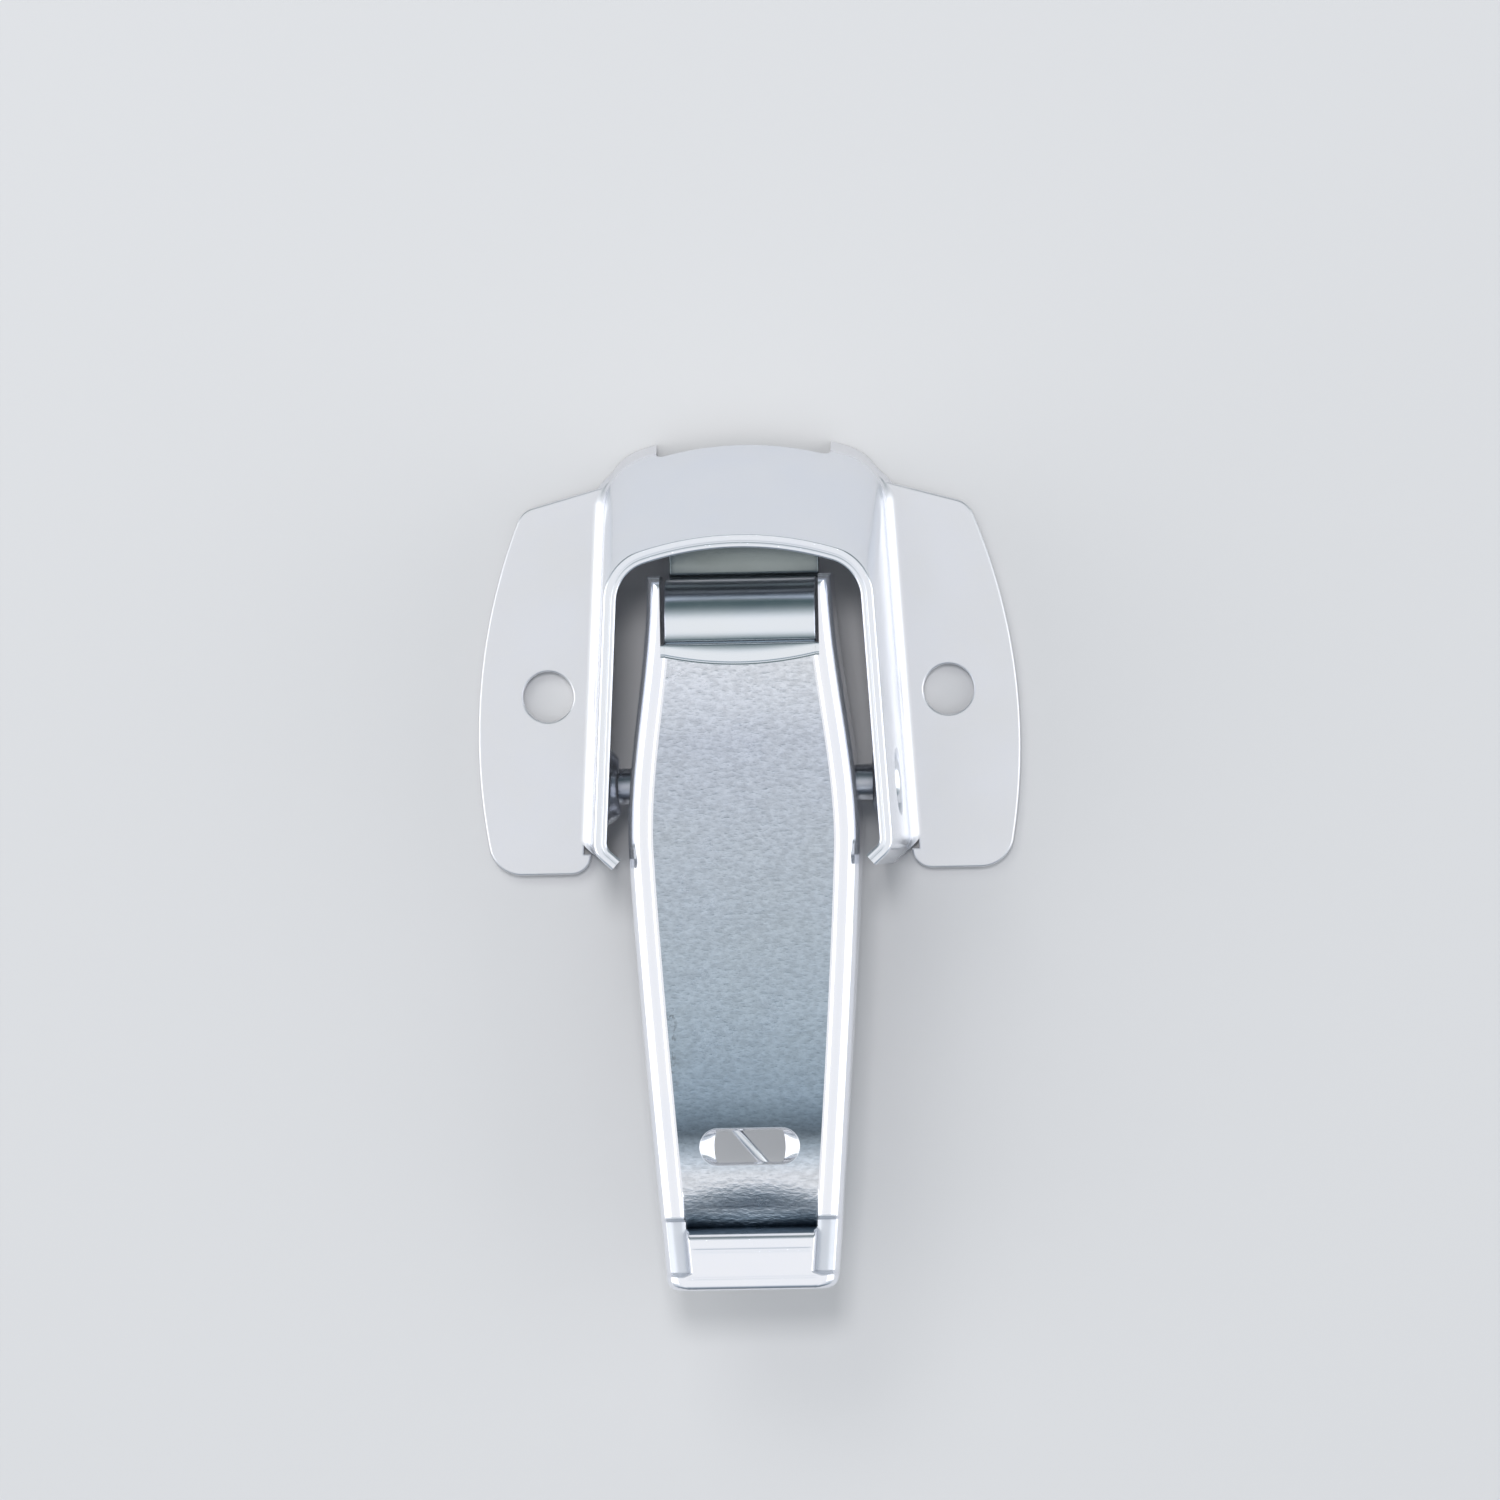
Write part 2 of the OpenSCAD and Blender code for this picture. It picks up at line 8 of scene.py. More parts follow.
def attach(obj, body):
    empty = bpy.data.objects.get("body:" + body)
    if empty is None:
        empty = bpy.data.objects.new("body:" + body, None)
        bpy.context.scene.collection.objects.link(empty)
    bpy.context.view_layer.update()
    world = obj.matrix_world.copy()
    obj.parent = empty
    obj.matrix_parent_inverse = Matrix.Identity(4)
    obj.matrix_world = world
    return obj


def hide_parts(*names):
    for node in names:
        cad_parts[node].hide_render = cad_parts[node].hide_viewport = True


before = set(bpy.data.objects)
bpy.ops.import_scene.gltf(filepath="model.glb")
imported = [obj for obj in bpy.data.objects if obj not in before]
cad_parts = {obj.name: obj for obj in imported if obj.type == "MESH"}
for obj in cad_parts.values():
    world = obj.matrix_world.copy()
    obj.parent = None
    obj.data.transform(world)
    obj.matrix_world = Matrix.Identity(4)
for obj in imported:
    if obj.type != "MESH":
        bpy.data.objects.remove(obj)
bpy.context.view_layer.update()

MM = 0.001

# Sizes in millimetres, as in the part's source
case_t = 1.1
lever_t = 1.0
pin_r = 1.5
pin_y = -7.6
pin_z = 8.5
pin_stand = 0.5
face_z = pin_z + 8.4
hood_h = face_z + 1.1
side_gap = 1.4
side_taper = 0.058
side_draft = 1.1
roof_run = 8.9
roof_r = 27.0
hood_corner_r = 4.4
ear_w = 9.95
ear_edge_r = 50.0
ear_wide_y = -4.0
ear_low = 14.9
ear_top = 17.2
ear_top_slope = 15.2
ear_top_r = 2.0
ear_low_r = 2.8
ear_bend_r = 1.0
outer_bend_r = ear_bend_r + case_t
screw_x = 33.5 / 2
screw_r = 4.2 / 2
wall_turn_r = 2.0
wall_turn = 48.0
wall_tip = 1.1
boss_gap = 0.95
notch_w = 14.6
notch_h = 2.5
lever_w = 19.1
nose_w = 15.2
tail_w = 14.0
shoulder_r = 1.3
shoulder_rise = 0.16
tail_y = -49.2
lip_len = 3.8
lip_y = tail_y + lip_len
lip_full_y = tail_y + 1.5
lip_full_len = 0.4
lip_over_face = 0.1
dip_depth = 1.7
dip_run = 3.5
dip_y = lip_y + 1.3
dip_start_y = dip_y + dip_run
shoulder_end_y = dip_y + 0.9
shoulder_end_len = 0.35
shoulder_drop = 0.9
wide_y = pin_y - 4.5
nose_reach = 9.5
arm_y = nose_reach + 0.2
arm_r = 1.4
arm_low_r = 4.0
nose_r = 3.6
step_drop = 0.85
step_end_y = nose_reach - nose_r - 0.4
step_y = step_end_y - 3.0
slit_y = step_y + 1.5
foot_len = 4.0
foot_z = 5.2
flange_low_z = pin_z - 3.2
tail_flange = 4.6
web_stub = 0.06
tongue_gap = 0.3
tongue_half = nose_w / 2 - lever_t - web_stub - tongue_gap
arm_in = tongue_half + tongue_gap
slot_len = 8.1
slot_w = 2.9
slot_bevel = 1.1
slot_y = tail_y + 11.8
wire_r = 0.4
coil_r = pin_r + 0.3 + wire_r
turns = 5
turn_pitch = 0.86
leg_gap = 0.08
door_leg = 11.0
leg_past_slot = 2.0
rim_half = lever_w / 2 + side_gap + case_t + side_taper * pin_y
foot_half = rim_half + side_draft
roof_t = case_t / math.cos(math.atan(roof_run / hood_h))
rim_apex = nose_reach + 2.3 + roof_t
turn_y = pin_y - 4.6
taper_n = math.hypot(1, side_taper)
shoulder_past = math.degrees(math.acos((shoulder_r - shoulder_rise) / shoulder_r))
boss_x = lever_w / 2 + boss_gap
boss_out = 4.1

# Edges, curves and other fine shapes; lengths in millimetres
lip_rise_len = 1.0
lip_end_r = 0.4
lip_corner_r = 0.9
lip_end_share = 0.96
lip_past = 6.0  # degrees by which the shoulder's arc goes on over the lip
under_rise_len = 0.5
tail_curve = 1.2
tail_end_flange = 1.2
dip_curve = 2.0
dip_bow = 0.8
dip_bow_run = 1.6
shoulder_side = 0.8
shoulder_run = 0.16
side_turn = 0.7  # share of the way at which the shoulder's inner side levels out
under_share = 0.6
edge_round = 0.14
plate_round = 0.16
rim_round = 0.24
roof_round_share = 0.4
slot_edge_r = 0.1
toe_r = 0.6
face_end_back = 0.25
face_end_bow = 0.7
crease_y = 4.16
crease_half = 0.12
step_slope = 0.34
step_level = 0.4
step_curve = 1.7
groove_w = 0.32
under_sag = 0.12
edge_fade = 0.3
notch_r = 0.8
ear_inside = 0.55
ear_join = (0.5, 0.15)  # beyond the corner's radius, above the ear's top
ear_lean_drop = 1.2
pin_dome = 0.35
boss_radii = 56
boss_press_out = (1.6, 1.35)  # radius where the slope starts, its width
boss_press_in = (2.2, 1.4)

# (share of the rim's width, depth) of the fine sheared line in the hood's rim
RIM_LINE = ((0, 0), (0.48, 0), (0.55, 0.014), (0.61, 0.03), (0.67, 0.03), (0.73, 0.014), (0.8, 0), (1, 0))
# (distance, depth) of the fine groove along the face's upper end
GROOVE = ((0.03, 0.004), (0.08, 0.026), (0.13, 0.044), (0.18, 0.044), (0.23, 0.026), (0.28, 0.006))
# (place along Y, half-width, depth) of the two fine pressed lines that cross the lip
LIP_LINES = ((lip_y - 0.48, 0.11, 0.035), (lip_full_y - 0.5, 0.09, 0.018))
# (distance from the end, share of the radius) of the rings that round a wire's end
WIRE_END = ((0.0, 0.4), (0.0, 0.75), (0.06, 0.93), (0.14, 1.0))
# Points in each stretch of half the lever's section: flange, shoulder arc, inner side of the shoulder, face
FLANGE, ARC, SIDE, WEB = 14, 30, 7, 26
# Slots of the lever's materials
SHOULDER, FACE, TRENCH_SHADE = 0, 1, 2


def unit(a):
    return Vector((math.cos(math.radians(a)), math.sin(math.radians(a))))


def mix(a, b, t):
    return a + (b - a) * t


def clamp01(t):
    return min(1.0, max(0.0, t))


def ease(t):
    u = clamp01(t)
    return u * u * (3 - 2 * u)


def arc(c, r, a0, a1, n):
    return [Vector(c) + r * unit(mix(a0, a1, i / n)) for i in range(n + 1)]


def nested_centre(o, big, n, c, r, s):
    """Centre of a circle of radius r that touches the circle (o, big) and the line n.p = c from inside.

    s is 1 or -1 and picks one of the two."""
    h = c - r - n.dot(o)
    along = math.sqrt((big - r) ** 2 - h * h)
    return o + h * n + s * along * Vector((-n.y, n.x))


def add_object(name, data):
    obj = bpy.data.objects.new(name, data)
    bpy.context.scene.collection.objects.link(obj)
    return obj


class Mesh:
    """Collects points in millimetres and faces with a material number, and welds what meets."""

    def __init__(self):
        self.points = []
        self.faces = []
        self.slots = []

    def grid(self, rows, slot=0, flip=False, close=False):
        """Rows of points of equal length become quads. slot is a number or a function of (row, column)."""
        start, n = len(self.points), len(rows[0])
        for row in rows:
            self.points += [tuple(p) for p in row]
        for k in range(len(rows) - 1):
            for i in range(n if close else n - 1):
                j = (i + 1) % n
                low, high = start + k * n, start + (k + 1) * n
                quad = [low + i, low + j, high + j, high + i]
                self.faces.append(quad[::-1] if flip else quad)
                self.slots.append(slot(k, i) if callable(slot) else slot)

    def cap(self, n):
        """Closes the first and the last ring of n points."""
        last = len(self.points) - n
        self.faces += [list(range(n)), [last + i for i in range(n)][::-1]]
        self.slots += [0, 0]

    def build(self, name, materials, sharp=32.0):
        mesh = bpy.data.meshes.new(name)
        mesh.from_pydata([[c * MM for c in p] for p in self.points], [], self.faces)
        mesh.polygons.foreach_set("material_index", self.slots)
        bm = bmesh.new()
        bm.from_mesh(mesh)
        bmesh.ops.remove_doubles(bm, verts=bm.verts, dist=2e-7)
        bmesh.ops.recalc_face_normals(bm, faces=bm.faces)
        bm.to_mesh(mesh)
        bm.free()
        obj = add_object(name, mesh)
        for m in materials:
            mesh.materials.append(m)
        shade(obj, sharp)
        return obj


def shade(obj, sharp):
    """Smooth shading, with edges over that angle left crisp."""
    mesh = obj.data
    mesh.polygons.foreach_set("use_smooth", [True] * len(mesh.polygons))
    bm = bmesh.new()
    bm.from_mesh(mesh)
    limit = math.radians(sharp)
    for e in bm.edges:
        e.smooth = len(e.link_faces) == 2 and e.calc_face_angle(0.0) < limit
    bm.to_mesh(mesh)
    bm.free()


def join(parts):
    """Makes one object of several, under the first one's name."""
    with bpy.context.temp_override(active_object=parts[0], object=parts[0], selected_objects=parts,
                                   selected_editable_objects=parts):
        bpy.ops.object.join()
    return parts[0]


def cut(obj, tools):
    """Cuts closed solids out of the object."""
    for t in tools:
        m = obj.modifiers.new("cut", "BOOLEAN")
        m.operation = "DIFFERENCE"
        m.solver = "EXACT"
        m.object = t
    deps = bpy.context.evaluated_depsgraph_get()
    done = bpy.data.meshes.new_from_object(obj.evaluated_get(deps))
    obj.modifiers.clear()
    obj.data = done
    for t in tools:
        bpy.data.objects.remove(t, do_unlink=True)


def prism(low, high):
    """A closed solid between two rings of points."""
    bm = bmesh.new()
    low, high = [[bm.verts.new(Vector(p) * MM) for p in ring] for ring in (low, high)]
    n = len(low)
    for i in range(n):
        j = (i + 1) % n
        bm.faces.new((low[i], low[j], high[j], high[i]))
    bm.faces.new(low[::-1])
    bm.faces.new(high)
    bmesh.ops.recalc_face_normals(bm, faces=bm.faces)
    mesh = bpy.data.meshes.new("cutter")
    bm.to_mesh(mesh)
    bm.free()
    return add_object("cutter", mesh)


def rod(a, b, r, n=96):
    """A closed round rod from a to b."""
    a, b = Vector(a), Vector(b)
    z = (b - a).normalized()
    x = z.orthogonal().normalized()
    y = z.cross(x)
    turn = [2 * math.pi * i / n for i in range(n)]
    return prism(*[[c + r * (math.cos(t) * x + math.sin(t) * y) for t in turn] for c in (a, b)])


def extruded(outline, lo, hi, place):
    """A closed prism over a plane outline; place turns (u, v, w) into x, y, z."""
    return prism(*[[place(p[0], p[1], w) for p in outline] for w in (lo, hi)])


# Materials


def link(t, a, out, b, into):
    t.links.new(a.outputs[out], b.inputs[into])


def noise(t, coord, scale, detail, rough, stretch=(1.0, 1.0, 1.0)):
    """Noise over the object's own coordinates; scale is in cycles per metre."""
    place = t.nodes.new("ShaderNodeMapping")
    place.inputs["Scale"].default_value = [k * scale for k in stretch]
    link(t, coord, "Object", place, "Vector")
    n = t.nodes.new("ShaderNodeTexNoise")
    n.inputs["Scale"].default_value = 1.0
    n.inputs["Detail"].default_value = detail
    n.inputs["Roughness"].default_value = rough
    link(t, place, "Vector", n, "Vector")
    return n


def blend(t, kind, factor, a, b):
    """Mix node for colours; factor, a and b are (node, output) or plain values."""
    m = t.nodes.new("ShaderNodeMix")
    m.data_type = "RGBA"
    m.blend_type = kind
    for value, socket in ((factor, m.inputs["Factor"]), (a, m.inputs[6]), (b, m.inputs[7])):
        if isinstance(value[0], bpy.types.Node):
            t.links.new(value[0].outputs[value[1]], socket)
        else:
            socket.default_value = value if len(value) > 1 else value[0]
    return m


def span(t, node, out, lo, hi, to_lo, to_hi, smooth=False):
    """Map range node from lo..hi to to_lo..to_hi."""
    r = t.nodes.new("ShaderNodeMapRange")
    if smooth:
        r.interpolation_type = "SMOOTHSTEP"
    for key, value in (("From Min", lo), ("From Max", hi), ("To Min", to_lo), ("To Max", to_hi)):
        r.inputs[key].default_value = value
    link(t, node, out, r, "Value")
    return r


# Sizes in the materials: noise in cycles per metre, the rest in metres
CLOUD_SCALE = 160.0
WAVE_SCALE = 420.0
NICK_SCALE = 2600.0
BUMP_DEPTH = 0.00008
WAVE_DEPTH = 0.00012
FOOT_TOP = (0.0011, 0.0021)
# Ranges of the noise that count, and two tones
CLOUD_RANGE = (0.3, 0.7)
GRAIN_RANGE = (0.35, 0.65)
NICK_RANGE = (0.52, 0.62)
TINT = (0.9, 0.93, 1.0)
NICK_TONE = (0.22, 0.25, 0.28, 1)


def cloudy(t, cloud, base):
    """A tone that drifts between the base and its cooler tint."""
    return blend(t, "MIX", (cloud, "Fac"), (*[c * k for c, k in zip(base, TINT)], 1), (*base, 1))


def product(t, a, b):
    m = t.nodes.new("ShaderNodeMath")
    m.operation = "MULTIPLY"
    link(t, a, 0, m, 0)
    link(t, b, 0, m, 1)
    return m


def fill_ramp(ramp, stops):
    """Sets a colour ramp from (place, tone) pairs in order."""
    elements = ramp.color_ramp.elements
    elements[0].color = (*stops[0][1], 1)
    elements[1].color = (*stops[-1][1], 1)
    for place, tone in stops[1:-1]:
        elements.new(place).color = (*tone, 1)


def zinc(name, base, rough, bump, wave=0.0, grain=(1.0, 1.0, 1.0), grain_size=0.0006, rough_span=0.06,
         speckle=0.0, metal=1.0, along=None, foot=None, nicks=None):
    """Zinc-plated steel: a metal whose tone, gloss and surface vary finely.

    along: [(mm along Y, tone), ...] paints light and shade on the sheet lengthwise. foot: (tone, roughness)
    below the hood's bend. nicks: (x, half-width, lowest y, highest y) in mm of a worn strip."""
    m = bpy.data.materials.new(name)
    m.use_nodes = True
    t = m.node_tree
    t.nodes.clear()
    out = t.nodes.new("ShaderNodeOutputMaterial")
    bsdf = t.nodes.new("ShaderNodeBsdfPrincipled")
    link(t, bsdf, "BSDF", out, "Surface")
    bsdf.inputs["Metallic"].default_value = metal
    coord = t.nodes.new("ShaderNodeTexCoord")
    if along or foot:
        split = t.nodes.new("ShaderNodeSeparateXYZ")
        link(t, coord, "Object", split, "Vector")
    fine = noise(t, coord, 1 / grain_size, 3.0, 0.55, grain)
    cloud = noise(t, coord, CLOUD_SCALE, 4.0, 0.6)
    tone = cloudy(t, cloud, base)
    gloss = span(t, cloud, "Fac", *CLOUD_RANGE, rough - rough_span, rough + rough_span)
    if foot:
        high = span(t, split, "Z", *FOOT_TOP, 0.0, 1.0, smooth=True)
        tone = blend(t, "MIX", (high, "Result"), (cloudy(t, cloud, foot[0]), 2), (tone, 2))
        low_gloss = span(t, cloud, "Fac", *CLOUD_RANGE, foot[1] - rough_span, foot[1] + rough_span)
        mixed = t.nodes.new("ShaderNodeMix")
        link(t, high, "Result", mixed, "Factor")
        link(t, low_gloss, "Result", mixed, 2)
        link(t, gloss, "Result", mixed, 3)
        gloss = mixed
    link(t, gloss, 0, bsdf, "Roughness")
    # Painted light and shade: the lengthwise tones multiply the colour
    if along:
        lo, hi = along[0][0], along[-1][0]
        where = span(t, split, "Y", lo * MM, hi * MM, 0.0, 1.0)
        ramp = t.nodes.new("ShaderNodeValToRGB")
        fill_ramp(ramp, [((y - lo) / (hi - lo), c) for y, c in along])
        link(t, where, "Result", ramp, "Fac")
        tone = blend(t, "MULTIPLY", (1.0,), (tone, 2), (ramp, "Color"))
    if speckle:
        grains = span(t, fine, "Fac", *GRAIN_RANGE, 1 - speckle, 1 + speckle * 0.6)
        tone = blend(t, "MULTIPLY", (1.0,), (tone, 2), (grains, "Result"))
    if nicks:
        x, half, y_lo, y_hi = [v * MM for v in nicks]
        marks = span(t, noise(t, coord, NICK_SCALE, 2.0, 0.6, (1.0, 0.7, 1.0)), "Fac", *NICK_RANGE, 0.0, 1.0)
        fades = ("X", x - half, x), ("X", x + half, x), ("Y", y_lo, y_lo + MM), ("Y", y_hi, y_hi - MM)
        for axis, lo, hi in fades:
            marks = product(t, marks, span(t, split, axis, lo, hi, 0.0, 1.0))
        tone = blend(t, "MIX", (marks, 0), (tone, 2), NICK_TONE)
    link(t, tone, 2, bsdf, "Base Color")
    bumps = [(fine, bump, BUMP_DEPTH)]
    if wave:
        bumps.insert(0, (noise(t, coord, WAVE_SCALE, 1.5, 0.5), wave, WAVE_DEPTH))
    normal = None
    for height, strength, depth in bumps:
        b = t.nodes.new("ShaderNodeBump")
        b.inputs["Strength"].default_value = strength
        b.inputs["Distance"].default_value = depth
        link(t, height, "Fac", b, "Height")
        if normal:
            link(t, normal, "Normal", b, "Normal")
        normal = b
    link(t, normal, "Normal", bsdf, "Normal")
    return m


WHITE = (1.0, 1.0, 1.0)
# Painted light and shade lengthwise as (mm along Y, tone), from the finger end up, multiplied into the
# face's colour: painted shade in the crease at the lip, a painted highlight on the front of the dip, a
# painted dark reflection band beside the slot, and a painted lighter upper end standing in for the face's
# reflection
FACE_PAINTED_SHADING = [
    (-44.7, (0.45, 0.52, 0.58)), (-44.45, (0.10, 0.14, 0.18)), (-43.8, (0.16, 0.21, 0.26)),
    (-43.35, (0.74, 0.84, 0.90)), (-42.6, WHITE), (-39.8, WHITE), (-38.7, (0.84, 0.90, 0.95)),
    (-37.5, (0.46, 0.53, 0.58)), (-36.4, (0.17, 0.21, 0.24)), (-35.7, (0.18, 0.23, 0.27)),
    (-34.7, (0.26, 0.33, 0.385)), (-33, (0.40, 0.49, 0.56)), (-26, (0.555, 0.635, 0.685)),
    (-12, (0.69, 0.735, 0.775)), (-4, (0.76, 0.79, 0.845)), (0, (0.94, 0.955, 0.985)), (3, WHITE),
]
# Painted light and shade on the tongue: painted shade in the crease between face and nose, and painted shade
# that darkens the latching foot beyond the nose, under the hood's roof
TONGUE_PAINTED_SHADING = [
    (3.85, WHITE), (4.03, (0.70, 0.75, 0.79)), (4.16, (0.30, 0.38, 0.44)), (4.30, (0.72, 0.78, 0.82)),
    (4.55, WHITE), (9.3, WHITE), (9.8, (0.42, 0.45, 0.43)), (14, (0.30, 0.33, 0.31)),
]

case_zinc = zinc("case_zinc", (0.87, 0.88, 0.90), 0.16, grain=(1.0, 0.6, 0.6), bump=0.07, rough_span=0.04,
                 metal=0.88, foot=((0.88, 0.87, 0.87), 0.36))
# The face's colour carries painted light and shade lengthwise
face_zinc = zinc("face_zinc", (0.90, 0.90, 0.91), 0.32, grain=(0.5, 1.0, 1.0), grain_size=0.00028, bump=0.85,
                 wave=0.12, speckle=0.14, along=FACE_PAINTED_SHADING, nicks=(-6.35, 0.8, -33.0, -25.5))
# The tongue's colour carries painted shade in the crease and on the latching foot
tongue_zinc = zinc("tongue_zinc", (0.88, 0.90, 0.91), 0.20, bump=0.05, rough_span=0.04, along=TONGUE_PAINTED_SHADING)
# Painted shade: a darker, less metallic zinc in the trench beside the dip, where shade falls
trench_shade_zinc = zinc("trench_shade_zinc", (0.66, 0.68, 0.71), 0.3, grain=(1.0, 0.4, 1.0), grain_size=0.0005,
                   bump=0.12, rough_span=0.05, metal=0.5)
shoulder_zinc = zinc("shoulder_zinc", (0.92, 0.92, 0.94), 0.15, grain=(1.0, 0.2, 1.0), bump=0.05, wave=0.10,
                     rough_span=0.04, metal=0.85)
pin_steel = zinc("pin_steel", (0.62, 0.63, 0.65), 0.28, grain=(4.0, 0.6, 0.6), grain_size=0.0008, bump=0.10)
wire_steel = zinc("wire_steel", (0.84, 0.85, 0.86), 0.25, grain=(1.0, 0.4, 0.4), bump=0.10)


# Hood


def outer_flare(z):
    u = clamp01((z - case_t) / ear_bend_r)
    return ear_bend_r * (1 - math.sqrt(1 - (1 - u) ** 2))


def inner_flare(z):
    u = clamp01(z / outer_bend_r)
    return outer_bend_r * (1 - math.sqrt(1 - (1 - u) ** 2))


def half_outline(z, depth, roof_depth, flare):
    """Right half of the hood's outline at height z, from the turned tip to the apex of the roof."""
    s = z / hood_h
    r = roof_r - depth
    half = mix(foot_half, rim_half, s) - depth * taper_n
    apex = mix(rim_apex + roof_run, rim_apex, s) - roof_depth
    top = Vector((0, apex - r))
    n = Vector((1, side_taper)) / taper_n
    lean = math.degrees(math.atan(side_taper))
    corner_r = hood_corner_r - depth
    corner = nested_centre(top, r, n, half / taper_n, corner_r, 1)
    corner_end = math.degrees(math.atan2(corner.y - top.y, corner.x - top.x))
    turn_r = wall_turn_r - depth
    turn_c = Vector((half - side_taper * turn_y - turn_r, turn_y))
    out = []
    start = turn_c + turn_r * unit(-wall_turn)
    for i in range(6):
        out.append(start + wall_tip * (1 - i / 6) * unit(-90 - wall_turn))
    for i in range(11):
        u = i / 10
        out.append(turn_c + (turn_r + flare * u * u) * unit(mix(-wall_turn, lean, u)))
    a, b = out[-1], corner + (corner_r + flare) * unit(lean)
    for i in range(1, 24):
        out.append(a.lerp(b, i / 24))
    for i in range(15):
        u = i / 14
        out.append(corner + (corner_r + flare * clamp01(1 - 2.5 * u)) * unit(mix(lean, corner_end, u)))
    for i in range(1, 21):
        out.append(top + r * unit(mix(corner_end, 90, i / 20)))
    return out


def whole(half):
    return half + [Vector((-p.x, p.y)) for p in half[-2::-1]]


def hood_rows():
    """Closed rows round the sheet: outer side, then inner side, from foot to rim, with a rounded rim."""
    slant = roof_t / case_t
    quarter = [math.radians(7.5 * k) for k in range(13)]
    top = hood_h - rim_round
    levels = [(case_t * k / 4, 0.0) for k in range(4)]
    levels += [(case_t + ear_bend_r * (1 - math.cos(a)), 0.0) for a in quarter]
    levels += [(mix(case_t + ear_bend_r, top, k / 34), 0.0) for k in range(1, 35)]
    levels += [(top + rim_round * math.sin(a), rim_round * (1 - math.cos(a))) for a in quarter[1:]]
    outer, inner = [], []
    for z, draw in levels:
        o = whole(half_outline(z, draw, draw * roof_round_share, outer_flare(z)))
        i = whole(half_outline(z, case_t - draw, roof_t - draw * slant, inner_flare(z)))
        outer.append([Vector((p.x, p.y, z)) for p in o])
        inner.append([Vector((p.x, p.y, z)) for p in i])
    return outer, inner


def close_sheet(m, outer, inner, flip=False):
    """Fills the two long edges between the outer and the inner side of a sheet."""
    for end, turned in ((0, flip), (-1, not flip)):
        m.grid([[r[end] for r in outer], [r[end] for r in inner]], flip=turned)


def hood():
    m = Mesh()
    outer, inner = hood_rows()
    m.grid(outer)
    m.grid(inner, flip=True)
    rim = list(zip(outer[-1], inner[-1]))
    m.grid([[a.lerp(b, u) - Vector((0, 0, low)) for a, b in rim] for u, low in RIM_LINE])
    m.grid([outer[0], inner[0]], flip=True)
    close_sheet(m, outer, inner)
    return m


def ear_outline(side):
    """Outline of an ear. Its inner edge runs inside the hood's foot."""
    o = Vector((foot_half + ear_w - ear_edge_r, ear_wide_y))
    lean = math.degrees(math.atan(side_taper))
    arch = Vector((0, rim_apex + roof_run - roof_r))
    side_n = Vector((1, side_taper)) / taper_n
    corner = nested_centre(arch, roof_r, side_n, foot_half / taper_n, hood_corner_r, 1)
    corner_end = math.degrees(math.atan2(corner.y - arch.y, corner.x))
    join_a = math.degrees(math.asin((ear_top + ear_join[1] - corner.y) / (hood_corner_r + ear_join[0])))
    join_f = clamp01(1 - 2.5 * (join_a - lean) / (corner_end - lean))
    join_x = corner.x + (hood_corner_r - case_t / 2 + ear_bend_r * join_f) * math.cos(math.radians(join_a))
    lean_y = min(corner.y, ear_top - ear_lean_drop)
    inner_x = foot_half + ear_inside
    tab_x = foot_half - side_taper * turn_y
    tab_y = turn_y - ear_bend_r
    tab_r = tab_y + ear_low
    top_n = unit(90 - ear_top_slope)
    top_c = Vector((foot_half, ear_top)).dot(top_n)
    top = nested_centre(o, ear_edge_r, top_n, top_c, ear_top_r, -1)
    low = nested_centre(o, ear_edge_r, Vector((0, -1)), ear_low, ear_low_r, 1)
    low_a = math.degrees(math.atan2(low.y - o.y, low.x - o.x))
    top_a = math.degrees(math.atan2(top.y - o.y, top.x - o.x))
    pts = [Vector((inner_x - side_taper * tab_y, tab_y))]
    pts += arc((tab_x + tab_r, tab_y), tab_r, 180, 270, 16)
    pts += arc(low, ear_low_r, -90, low_a, 24) + arc(o, ear_edge_r, low_a, top_a, 60)[1:]
    pts += arc(top, ear_top_r, top_a, 90 - ear_top_slope, 24)[1:]
    pts.append(Vector((join_x, (top_c - top_n.x * join_x) / top_n.y)))
    pts.append(Vector((inner_x - side_taper * lean_y, lean_y)))
    return [(side * p.x, p.y) for p in pts]


def plate(outlines, z0, z1, round_r, name, mat):
    """A flat plate with rounded edges and holes, from closed outlines."""
    c = bpy.data.curves.new(name, "CURVE")
    c.dimensions = "2D"
    c.fill_mode = "BOTH"
    for pts in outlines:
        sp = c.splines.new("POLY")
        sp.points.add(len(pts) - 1)
        for q, p in zip(sp.points, pts):
            q.co = (p[0] * MM, p[1] * MM, 0, 1)
        sp.use_cyclic_u = True
    c.extrude = ((z1 - z0) / 2 - round_r) * MM
    c.bevel_depth = round_r * MM
    c.bevel_resolution = 3
    c.offset = -round_r * MM
    tmp = add_object(name + "_curve", c)
    deps = bpy.context.evaluated_depsgraph_get()
    mesh = bpy.data.meshes.new_from_object(tmp.evaluated_get(deps))
    mesh.transform(Matrix.Translation((0, 0, (z0 + z1) / 2 * MM)))
    bpy.data.objects.remove(tmp, do_unlink=True)
    obj = add_object(name, mesh)
    mesh.materials.clear()
    mesh.materials.append(mat)
    shade(obj, 28)
    return obj


def ring(x, y, r, n=96):
    return [(x + r * math.cos(2 * math.pi * i / n), y + r * math.sin(2 * math.pi * i / n)) for i in range(n)]


